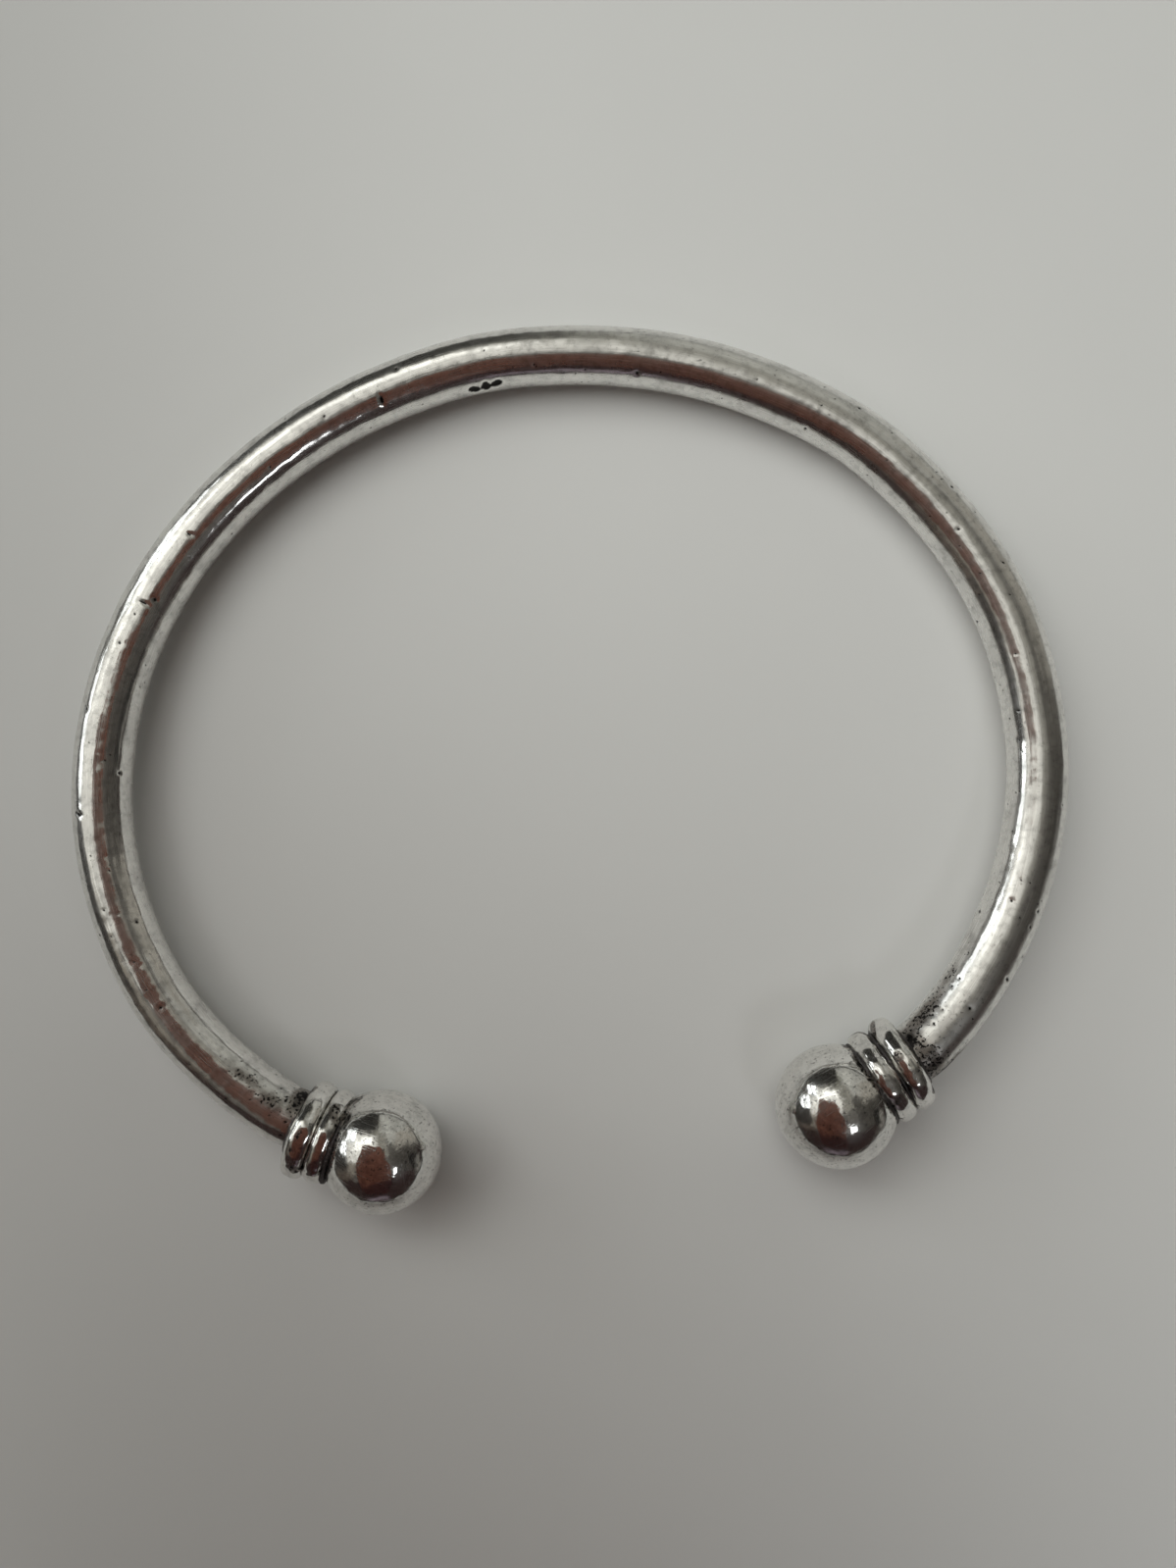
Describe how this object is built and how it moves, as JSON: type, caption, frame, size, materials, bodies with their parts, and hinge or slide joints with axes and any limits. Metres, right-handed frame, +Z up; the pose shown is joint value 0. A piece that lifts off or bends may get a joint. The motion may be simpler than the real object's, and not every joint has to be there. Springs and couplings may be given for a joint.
{
  "type": "bangle bracelet",
  "caption": "Open torque bangle: a round solid silver rod bent to an oval, with wire rings and a solid ball soldered on each end.",
  "frame": {"origin": "on the surface the bangle lies on, under the middle of its bounding box", "axes": "+X across the wrist, +Y from the gap towards the back of the band, +Z up; left and right are -X and +X"},
  "size_m": [0.0756, 0.0658, 0.0089],
  "materials": {
    "silver": "polished solid silver, worn by hand, with fine scratches, small nicks and a little tarnish",
    "solder": "silver solder dark with oxide in the bottoms of the grooves"
  },
  "bodies": {
    "root": {"band": "silver", "left_rod_ring": "silver", "left_ball_ring": "silver", "left_ball": "silver", "left_rod_solder": "solder", "left_ring_solder": "solder", "left_ball_solder": "solder", "right_rod_ring": "silver", "right_ball_ring": "silver", "right_ball": "silver", "right_rod_solder": "solder", "right_ring_solder": "solder", "right_ball_solder": "solder"}
  },
  "joints": []
}
